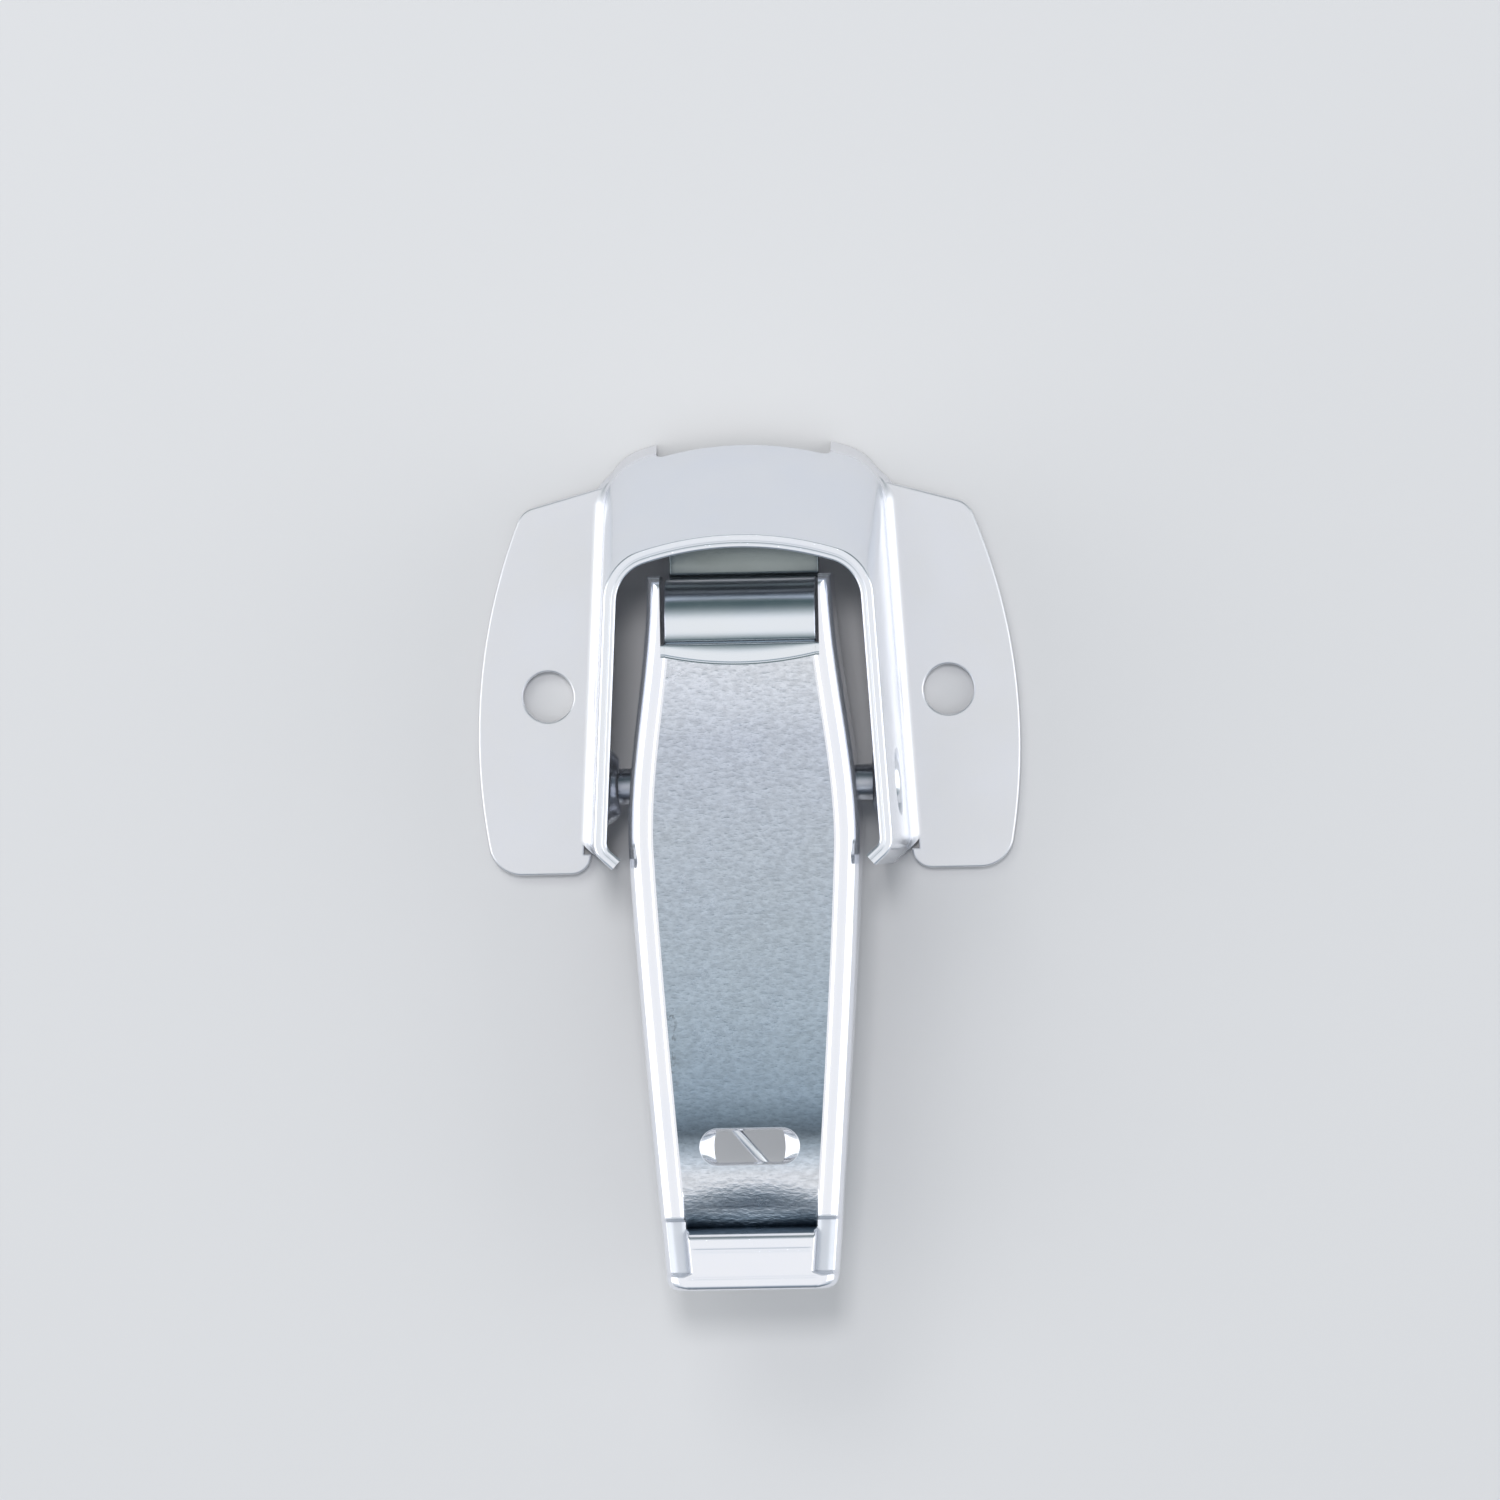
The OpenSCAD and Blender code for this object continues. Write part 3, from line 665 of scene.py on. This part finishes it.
def boss(side):
    """Round patch of a side wall, pressed inward about the pin's axis and bored for the pin."""
    radii = [mix(pin_r + 0.02, boss_out + 0.003, k / boss_radii) for k in range(boss_radii + 1)]

    def rows(depth, flat, start, run):
        out = []
        for r in radii:
            f = 1 - ease((r - start) / run)
            row = []
            for y, z in ring(pin_y, pin_z, r):
                wall = mix(foot_half, rim_half, z / hood_h) - depth * taper_n - side_taper * y
                row.append(Vector((side * mix(wall, flat, f), y, z)))
            out.append(row)
        return out

    outer = rows(0, boss_x + case_t, *boss_press_out)
    inner = rows(case_t, boss_x, *boss_press_in)
    m = Mesh()
    m.grid(outer, close=True)
    m.grid(inner, close=True, flip=True)
    m.grid([outer[0], inner[0]], close=True)
    m.grid([outer[-1], inner[-1]], close=True)
    return m.build("boss_skin", [case_zinc], 50)


def build_case():
    skin = hood().build("case_skin", [case_zinc])
    notch = [(-notch_w / 2, -1), (notch_w / 2, -1)]
    notch += arc((notch_w / 2 - notch_r, notch_h - notch_r), notch_r, 0, 90, 12)
    notch += arc((notch_r - notch_w / 2, notch_h - notch_r), notch_r, 90, 180, 12)
    cut(skin, [
        extruded(notch, rim_apex, rim_apex + 30, lambda u, v, w: (u, w, v)),
        rod((-30, pin_y, pin_z), (30, pin_y, pin_z), boss_out),
    ])
    shade(skin, 32)
    skin.data.materials.clear()
    skin.data.materials.append(case_zinc)
    parts = [skin]
    for side in (1, -1):
        outlines = [ear_outline(side), ring(side * screw_x, 0, screw_r)]
        parts.append(plate(outlines, 0, case_t, plate_round, "ear_skin", case_zinc))
        parts.append(boss(side))
    return join(parts)


# Lever


def lever_half(y):
    """Half of the lever's width at y, with rounded corners at the finger end."""
    if y < wide_y:
        corner = 1 - clamp01((y - tail_y) / lip_corner_r)
        return (mix(lever_w, tail_w, ((wide_y - y) / (wide_y - tail_y)) ** tail_curve) / 2
                - lip_corner_r * (1 - math.sqrt(1 - corner * corner)))
    return mix(lever_w, nose_w, ease((y - wide_y) / (arm_y - wide_y))) / 2


def lip_top(y):
    u = clamp01((tail_y + lip_end_r - y) / lip_end_r)
    return face_z + lip_over_face - lip_end_r * (1 - math.sqrt(1 - lip_end_share * u * u))


def dip_z(y):
    return face_z - dip_depth * clamp01((dip_start_y - y) / dip_run) ** dip_curve


def web_z(y):
    """Height of the face: level, down into the dip, up over the lip's rounded front and round its end."""
    if y >= dip_y:
        return dip_z(y)
    u = 1 - clamp01((dip_y - y) / lip_rise_len)
    return mix(face_z - dip_depth, lip_top(y), math.sqrt(1 - u * u))


def under_z(y):
    return mix(dip_z(y), lip_top(y), ease((lip_y - y) / under_rise_len)) - lever_t


def lip_full(y):
    return ease((lip_full_y - y) / lip_full_len)


def crown_z(y):
    u = ease((shoulder_end_y - y) / shoulder_end_len)
    return mix(face_z + shoulder_rise - shoulder_drop * u, lip_top(y), lip_full(y))


def flange_z(y):
    if y > pin_y:
        return flange_low_z
    end = clamp01((lip_y - y) / lip_len)
    return (mix(flange_low_z, face_z - tail_flange, ease((pin_y - y) / (pin_y - dip_start_y)))
            + (tail_flange - lever_t - tail_end_flange) * (1 - math.sqrt(1 - end * end)))


def lip_line(y):
    return sum(depth * math.exp(-((y - at) / half) ** 2) for at, half, depth in LIP_LINES)


def side_bow(s, rise):
    """Share of the way from shoulder to face in height, at the share s of the way in."""
    if abs(rise) < 0.02:
        return s
    if rise > 0:
        return math.sqrt(1 - (1 - s) ** 2)
    if s < side_turn:
        return 1 - math.sqrt(1 - s * s)
    return mix(1 - math.sqrt(1 - side_turn ** 2), 1, ((s - side_turn) / (1 - side_turn)) ** 0.5)


def half_section(y):
    """Right half of the sheet's section: pairs of outer and inner points, from flange edge to the middle."""
    w, c_z, z, low, zi = lever_half(y), crown_z(y), web_z(y), flange_z(y), under_z(y)
    c = Vector((w - shoulder_r, c_z - shoulder_r))
    past = mix(shoulder_past, lip_past, lip_full(y))
    ri = shoulder_r - lever_t
    ci = Vector((w - shoulder_r, min(c_z, zi + lever_t + shoulder_rise) - shoulder_r))
    out = []
    for k in range(4):
        a = math.radians(30 * k)
        across, up = edge_round * (1 - math.sin(a)), low + edge_round * (1 - math.cos(a))
        out.append((Vector((w - across, up)), Vector((w - lever_t + across, up))))
    low += edge_round
    for i in range(1, FLANGE):
        s = i / FLANGE
        out.append((Vector((w, mix(low, c.y, s))), Vector((w - lever_t, mix(low, ci.y, s)))))
    for i in range(ARC + 1):
        s = i / ARC
        out.append((c + shoulder_r * unit((90 + past) * s), ci + ri * unit(90 * s)))
    edge = c + shoulder_r * unit(90 + past)
    rise = z - edge.y
    run = shoulder_run * (1 + clamp01(rise / 0.5))
    for i in range(1, SIDE + 1):
        s = i / SIDE
        out.append((Vector((edge.x - run * s, mix(edge.y, z, side_bow(s, rise)))),
                    Vector((ci.x - shoulder_side * s, mix(ci.y + ri, zi, ease(s))))))
    x0, x1 = edge.x - run, ci.x - shoulder_side
    bow = dip_bow * clamp01((y - dip_y) / dip_bow_run)
    for i in range(1, WEB + 1):
        s = i / WEB
        top = dip_z(y - bow * (1 - (1 - s) ** 2)) if y >= dip_y else z - lip_line(y)
        out.append((Vector((x0 * (1 - s), top)), Vector((x1 * (1 - s), zi + under_share * (top - z)))))
    return out


def section(y):
    half = half_section(y)
    return half + [(Vector((-a.x, a.y)), Vector((-b.x, b.y))) for a, b in half[-2::-1]]


def stations(a, b, step):
    """Even stations after a, up to b."""
    n = max(1, round(abs(b - a) / step))
    return [mix(a, b, i / n) for i in range(1, n + 1)]


def lever_channel():
    ys = [tail_y + lip_end_r * (1 - math.cos(math.radians(6 * k))) for k in range(16)]
    ys += stations(tail_y + lip_end_r, lip_full_y, 0.06)
    ys += stations(lip_full_y, lip_y - 0.5, 0.2)
    ys += stations(lip_y - 0.5, dip_y - 0.3, 0.05)
    ys += [dip_y - 0.3 * (1 - k / 12) ** 2 for k in range(1, 13)]
    ys += stations(dip_y, shoulder_end_y, 0.05)
    ys += stations(shoulder_end_y, dip_start_y, 0.12)
    ys += stations(dip_start_y, arm_y + 0.8, 0.4)
    m = Mesh()
    rows = [section(y) for y in ys]
    outer = [[Vector((a.x, y, a.y)) for a, b in row] for y, row in zip(ys, rows)]
    inner = [[Vector((b.x, y, b.y)) for a, b in row] for y, row in zip(ys, rows)]
    n = len(outer[0])
    edge = FLANGE + ARC + 3

    def which(k, i):
        """Grey on the face, painted shade in the trench beside the dip, bright everywhere else."""
        if edge + SIDE <= i < n - 1 - edge - SIDE:
            return FACE if ys[k] > dip_y - 0.55 else SHOULDER
        low = lip_full_y - 0.15 < ys[k] < shoulder_end_y + 0.02
        return TRENCH_SHADE if low and (edge - 18 < i < edge + 2 or n - 3 - edge < i < n + 17 - edge) else SHOULDER

    m.grid(outer, slot=which)
    m.grid(inner, flip=True)
    close_sheet(m, outer, inner, flip=True)
    m.grid([outer[0], inner[0]])
    m.grid([outer[-1], inner[-1]], flip=True)
    return m


def slot_cutter():
    """Oblong slot whose ends slope down into the hole, with a rounded upper edge."""
    end_x, r = (slot_len - slot_w) / 2, slot_w / 2

    def row(z, bevel, grow=0.0):
        pts = []
        for side in (1, -1):
            for p in arc((0, 0), 1, -90, 90, 36):
                pts.append(Vector((side * (end_x + (r - bevel) * p.x) + grow * p.x * side,
                                   slot_y + side * (r - bevel / 8 + grow) * p.y, z)))
        return pts

    low, top = face_z - lever_t, face_z - slot_edge_r
    m = Mesh()
    rows = [row(low - 0.8, slot_bevel), row(low + 0.2, slot_bevel)]
    rows += [row(mix(low + 0.2, top, k / 6), mix(slot_bevel, 0.0, (k / 6) ** 0.9)) for k in range(1, 7)]
    for k in range(1, 7):
        a = math.radians(15 * k)
        rows.append(row(top + slot_edge_r * math.sin(a), 0, slot_edge_r * (1 - math.cos(a))))
    rows += [row(face_z + up, 0, slot_edge_r + 0.02) for up in (0.02, 0.8)]
    m.grid(rows, close=True)
    m.cap(len(rows[0]))
    return m.build("cutter", [shoulder_zinc], 60)


def web_front(x):
    """Where the face ends: a line that bows toward the finger end."""
    return step_y - face_end_back + face_end_bow * (x / tongue_half) ** 2


def arm_end():
    """Side view of what is cut off beyond the arms' two round corners."""
    back, low_back = arm_y - arm_r, arm_y - arm_low_r
    top, low = face_z + shoulder_rise + 0.04, flange_low_z - 0.04
    high_z, low_z, far = top + 0.8, low - 0.8, arm_y + 1.6
    pts = [Vector((back, high_z))] + arc((back, top - arm_r), arm_r, 90, 0, 24)
    pts += arc((low_back, low + arm_low_r), arm_low_r, 0, -90, 40)
    return pts + [Vector((low_back, low_z)), Vector((far, low_z)), Vector((far, high_z))]


def step_profile(y0):
    """The step between face and nose, a soft slope on both sides of a crease: pairs of (y, upper height)."""
    n = 60
    ys = [mix(y0, step_end_y, k / n) for k in range(n + 1)]

    def slope(y, peak):
        if y < crease_y:
            soft = ease((y - y0 - step_level) / (crease_y - y0 - step_level))
        else:
            soft = ease((step_end_y - y) / (step_end_y - crease_y)) ** step_curve
        return step_slope * soft + peak * math.exp(-((y - crease_y) / crease_half) ** 2)

    def total(peak):
        return sum(slope(y, peak) for y in ys) * (step_end_y - y0) / (n + 1)

    soft_only = total(0)
    peak = (step_drop - soft_only) / (total(1) - soft_only)
    z, out = face_z, []
    for k, y in enumerate(ys):
        if k:
            z -= (slope(ys[k - 1], peak) + slope(y, peak)) / 2 * (ys[k] - ys[k - 1])
        out.append((y, z))
    miss = (z - (face_z - step_drop)) / n
    return [(y, z - miss * k) for k, (y, z) in enumerate(out)]


def tongue_path(x):
    """Side view of the tongue at x, as pairs of upper and lower points: a fine groove along the face's end,
    the step, the rolled nose, the upright front and the latching foot."""
    top = face_z - step_drop
    start = web_front(x)
    y0 = start + groove_w
    path = [(Vector((start + run, face_z - depth)), unit(90)) for run, depth in ((-0.02, 0), *GROOVE)]
    rows = [(p, p - n * lever_t) for p, n in path]
    for y, z in step_profile(y0):
        share = (y - y0) / (step_end_y - y0)
        under = mix(face_z, top, ease(share)) - lever_t - under_sag * math.sin(math.pi * clamp01(share))
        rows.append((Vector((y, z)), Vector((y, under))))
    roll = Vector((nose_reach - nose_r, top - nose_r))
    path = [(Vector((mix(step_end_y, roll.x, k / 4), top)), unit(90)) for k in range(1, 4)]
    path += [(roll + nose_r * unit(90 - 2.5 * k), unit(90 - 2.5 * k)) for k in range(37)]
    path += [(Vector((nose_reach, mix(roll.y, foot_z + toe_r, k / 10))), unit(0)) for k in range(1, 11)]
    toe = Vector((nose_reach + toe_r, foot_z + toe_r))
    path += [(toe + toe_r * unit(180 + 9 * k), unit(9 * k)) for k in range(1, 11)]
    tip = nose_reach + foot_len - lever_t / 2
    path += [(Vector((mix(toe.x, tip, k / 6), foot_z)), unit(90)) for k in range(1, 7)]
    return rows + [(p, p - n * lever_t) for p, n in path]


def tongue():
    """The tongue's sheet, with its long edges rounded beyond the slits."""
    m = Mesh()
    xs = [-tongue_half + edge_round * (1 - math.cos(math.radians(18 * k))) for k in range(6)]
    xs += [mix(edge_round - tongue_half, tongue_half - edge_round, k / 36) for k in range(1, 36)]
    xs += [-x for x in xs[5::-1]]
    upper, lower = [], []
    for x in xs:
        off = max(0.0, abs(x) - tongue_half + edge_round)
        sink = edge_round - math.sqrt(max(0.0, edge_round ** 2 - off ** 2))
        up, down = [], []
        for p, q in tongue_path(x):
            fade = sink * ease((p.x - slit_y) / edge_fade) / lever_t
            up.append(Vector((x, *p.lerp(q, fade))))
            down.append(Vector((x, *q.lerp(p, fade))))
        upper.append(up)
        lower.append(down)
    m.grid(upper)
    m.grid(lower, flip=True)
    m.grid([upper[0], lower[0]], flip=True)
    m.grid([upper[-1], lower[-1]])
    c = Vector((nose_reach + foot_len - lever_t / 2, foot_z - lever_t / 2))
    tips = [u[-1] for u in upper]
    m.grid([[Vector((p.x, *(c + (p.z - c.y) * unit(90 - 15 * k)))) for p in tips] for k in range(13)])
    # The strips beside the tongue, which join it to the arms below the slits
    for side in (1, -1):
        rows = [pair for pair in tongue_path(side * tongue_half) if pair[0].x < slit_y]
        edges = tongue_half - 0.02, arm_in + 0.1
        top_rows = [[Vector((side * x, *p)) for p, q in rows] for x in edges]
        low_rows = [[Vector((side * x, *q)) for p, q in rows] for x in edges]
        m.grid(top_rows)
        m.grid(low_rows)
        m.grid([top_rows[0], low_rows[0]])
        m.grid([top_rows[1], low_rows[1]])
        m.grid([[r[-1] for r in top_rows], [r[-1] for r in low_rows]])
    return m


def build_lever():
    body = lever_channel().build("lever_skin", [shoulder_zinc, face_zinc, trench_shade_zinc])
    xs = [mix(-arm_in, arm_in, k / 48) for k in range(49)]
    front = [(x, web_front(min(tongue_half, max(-tongue_half, x)))) for x in xs]
    web = front + [(arm_in, 20), (-arm_in, 20)]
    cut(body, [
        extruded(web, 10, 25, lambda u, v, w: (u, v, w)),
        extruded(arm_end(), -15, 15, lambda u, v, w: (w, u, v)),
        slot_cutter(),
        rod((-30, pin_y, pin_z), (30, pin_y, pin_z), pin_r + 0.05),
    ])
    shade(body, 32)
    return join([body, tongue().build("tongue_skin", [tongue_zinc])])


# Pin and spring


def build_pin():
    """Round rod with domed ends."""
    half, n = boss_x + case_t + pin_stand, 64
    turn = [math.radians(7.5 * k) for k in range(1, 13)]
    ends = [(pin_r * math.sin(a), half - pin_dome * (1 - math.cos(a))) for a in turn]
    rows = []
    for side, end in ((-1, ends), (1, ends[::-1])):
        rows += [[Vector((side * x, y, z)) for y, z in ring(pin_y, pin_z, r, n)] for r, x in end]
    m = Mesh()
    m.grid(rows, close=True)
    m.cap(n)
    return m.build("pivot_pin_skin", [pin_steel], 40)


def spring_path():
    """Leg on the door, coil round the pin, and leg under the lever's face that ends across the slot."""
    def touch(dy, dz, side):
        return math.degrees(math.atan2(dz, dy)) + side * math.degrees(math.acos(coil_r / math.hypot(dy, dz)))

    coil_half = turns * turn_pitch / 2
    door_end = Vector((coil_half, pin_y + door_leg, wire_r + leg_gap))
    under = face_z - lever_t - leg_gap - wire_r
    corners = [Vector((-coil_half, slot_y + 3, under)), Vector((-1.2, slot_y + 1.4, under)),
               Vector((1.7, slot_y - leg_past_slot, under))]
    start_a = touch(door_leg, door_end.z - pin_z, -1)
    end_a = touch(corners[0].y - pin_y, under - pin_z, 1)
    sweep = turns + ((start_a - end_a) % 360) / 360
    n = round(sweep * 40)
    coil = []
    for i in range(n + 1):
        t = sweep * i / n
        c = coil_r * unit(start_a - 360 * t)
        coil.append(Vector((coil_half - turn_pitch * turns / sweep * t, pin_y + c.x, pin_z + c.y)))
    path = [door_end] + coil
    line = [coil[-1]] + corners
    for k in (1, 2):
        a, b, c = line[k - 1:k + 2]
        reach = 0.9 if k == 1 else 0.8
        p, q = b + (a - b).normalized() * reach, b + (c - b).normalized() * reach
        path += [p.lerp(b, i / 8).lerp(b.lerp(q, i / 8), i / 8) for i in range(9)]
    return path + [corners[2]]


def build_spring():
    """Round wire swept along the spring's path, with rounded ends."""
    path = spring_path()
    n = 20
    around = [2 * math.pi * i / n for i in range(n)]
    side = Vector((1, 0, 0))
    rings = []
    for k, p in enumerate(path):
        ahead = path[min(k + 1, len(path) - 1)] - path[max(k - 1, 0)]
        ahead.normalize()
        side = (side - ahead * side.dot(ahead)).normalized()
        up = ahead.cross(side)
        caps = [(0.0, 1.0)]
        if k == 0:
            caps = WIRE_END
        elif k == len(path) - 1:
            caps = [(-along, size) for along, size in WIRE_END[::-1]]
        for along, size in caps:
            c, r = p + along * ahead, wire_r * size
            rings.append([c + r * (math.cos(a) * side + math.sin(a) * up) for a in around])
    m = Mesh()
    m.grid(rings, close=True)
    m.cap(n)
    return m.build("lever_spring_skin", [wire_steel], 50)


for piece, body, slot_name, node in (
        (build_case(), "case_body", "zinc_case", "case"),
        (build_lever(), "lever_body", "zinc_lever", "lever"),
        (build_pin(), "case_body", "steel_pin", "pivot_pin"),
        (build_spring(), "lever_body", "spring_wire", "lever_spring"),
):
    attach(piece, body)
    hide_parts(node)

# Floor


def floor_material():
    m = bpy.data.materials.new("floor")
    m.use_nodes = True
    t = m.node_tree
    bsdf = t.nodes["Principled BSDF"]
    bsdf.inputs["Roughness"].default_value = 0.9
    bsdf.inputs["Specular IOR Level"].default_value = 0.0
    cloud = noise(t, t.nodes.new("ShaderNodeTexCoord"), 6.0, 2.0, 0.5)
    tone = blend(t, "MIX", (cloud, "Fac"), (0.63, 0.63, 0.64, 1), (0.65, 0.65, 0.66, 1))
    link(t, tone, 2, bsdf, "Base Color")
    return m


bpy.ops.mesh.primitive_plane_add(size=30, location=(0, 0, -0.0002))
floor = bpy.context.object
floor.name = "floor"
floor.data.materials.append(floor_material())


# Light


def soft_box(name, place, aim, size, power, colour, glossy=True):
    data = bpy.data.lights.new(name, "AREA")
    data.shape = "RECTANGLE"
    data.size, data.size_y = size
    data.energy = power
    data.color = colour
    obj = add_object(name, data)
    obj.location = place
    obj.rotation_mode = "QUATERNION"
    obj.rotation_quaternion = (Vector(aim) - Vector(place)).to_track_quat("-Z", "Y")
    obj.visible_glossy = glossy


middle = (0, -0.01, 0.01)
soft_box("key", (-0.16, 0.30, 0.46), middle, (0.30, 0.22), 0.6, (1.0, 0.99, 0.97), glossy=False)
soft_box("side_left", (-0.50, -0.03, 0.26), middle, (0.44, 0.60), 0.8, (1.0, 1.0, 1.0))
soft_box("side_right", (0.50, -0.03, 0.26), middle, (0.44, 0.60), 0.75, (0.97, 0.98, 1.0))
soft_box("overhead", (0, 0.17, 0.93), (0, -0.01, 0), (0.14, 0.14), 2.5, (1.0, 0.99, 1.0), glossy=False)

# The studio's tones from below the picture (0) by way of the viewer and both sides (0.5) to above it (1)
STUDIO_TONES = [
    (0, (0.04, 0.06, 0.08)), (0.13, (0.16, 0.21, 0.26)), (0.20, (0.32, 0.39, 0.45)),
    (0.27, (0.56, 0.61, 0.66)), (0.36, (0.88, 0.90, 0.93)), (0.50, WHITE), (0.56, (0.92, 0.94, 0.96)),
    (0.62, (0.74, 0.78, 0.81)), (0.68, (0.50, 0.55, 0.57)), (0.75, (0.26, 0.31, 0.33)),
    (0.82, (0.11, 0.15, 0.16)), (0.90, (0.06, 0.10, 0.11)), (0.93, (0.20, 0.24, 0.25)),
    (0.96, (0.86, 0.88, 0.90)), (1, (0.92, 0.94, 0.96)),
]


def studio():
    """World whose light depends on the direction alone."""
    world = bpy.data.worlds.new("studio")
    world.use_nodes = True
    t = world.node_tree
    t.nodes.clear()
    out = t.nodes.new("ShaderNodeOutputWorld")
    light = t.nodes.new("ShaderNodeBackground")
    link(t, light, "Background", out, "Surface")
    coord = t.nodes.new("ShaderNodeTexCoord")
    split = t.nodes.new("ShaderNodeSeparateXYZ")
    link(t, coord, "Generated", split, "Vector")
    ramp = t.nodes.new("ShaderNodeValToRGB")
    fill_ramp(ramp, STUDIO_TONES)
    link(t, span(t, split, "Y", -1.0, 1.0, 0.0, 1.0), "Result", ramp, "Fac")
    sideways = t.nodes.new("ShaderNodeMath")
    sideways.operation = "ABSOLUTE"
    link(t, split, "X", sideways, 0)
    link(t, ramp, "Color", light, "Color")
    link(t, span(t, sideways, 0, 0.0, 1.0, 0.95, 1.0), "Result", light, "Strength")
    return world


bpy.context.scene.world = studio()

# Camera: straight at the front, turned as in the photograph
roll = math.radians(1.14)
yaw = math.radians(2.3)
distance = 1.035
seen_width = 0.1255
target = Vector((0, -0.00477, 0))
place = target + distance * Vector((math.sin(yaw), 0, math.cos(yaw)))
ahead = (target - place).normalized()
up0 = (Vector((0, 1, 0)) - ahead * ahead.y).normalized()
right0 = ahead.cross(up0)
right = math.cos(roll) * right0 - math.sin(roll) * up0
up = math.sin(roll) * right0 + math.cos(roll) * up0
cam_data = bpy.data.cameras.new("camera")
cam_data.lens = cam_data.sensor_width * distance / seen_width
cam_data.clip_start = 0.05
cam_data.clip_end = 20
cam = add_object("camera", cam_data)
cam.matrix_world = Matrix.Translation(place) @ Matrix((right, up, -ahead)).transposed().to_4x4()
bpy.context.scene.camera = cam
bpy.context.scene.view_settings.view_transform = "Standard"
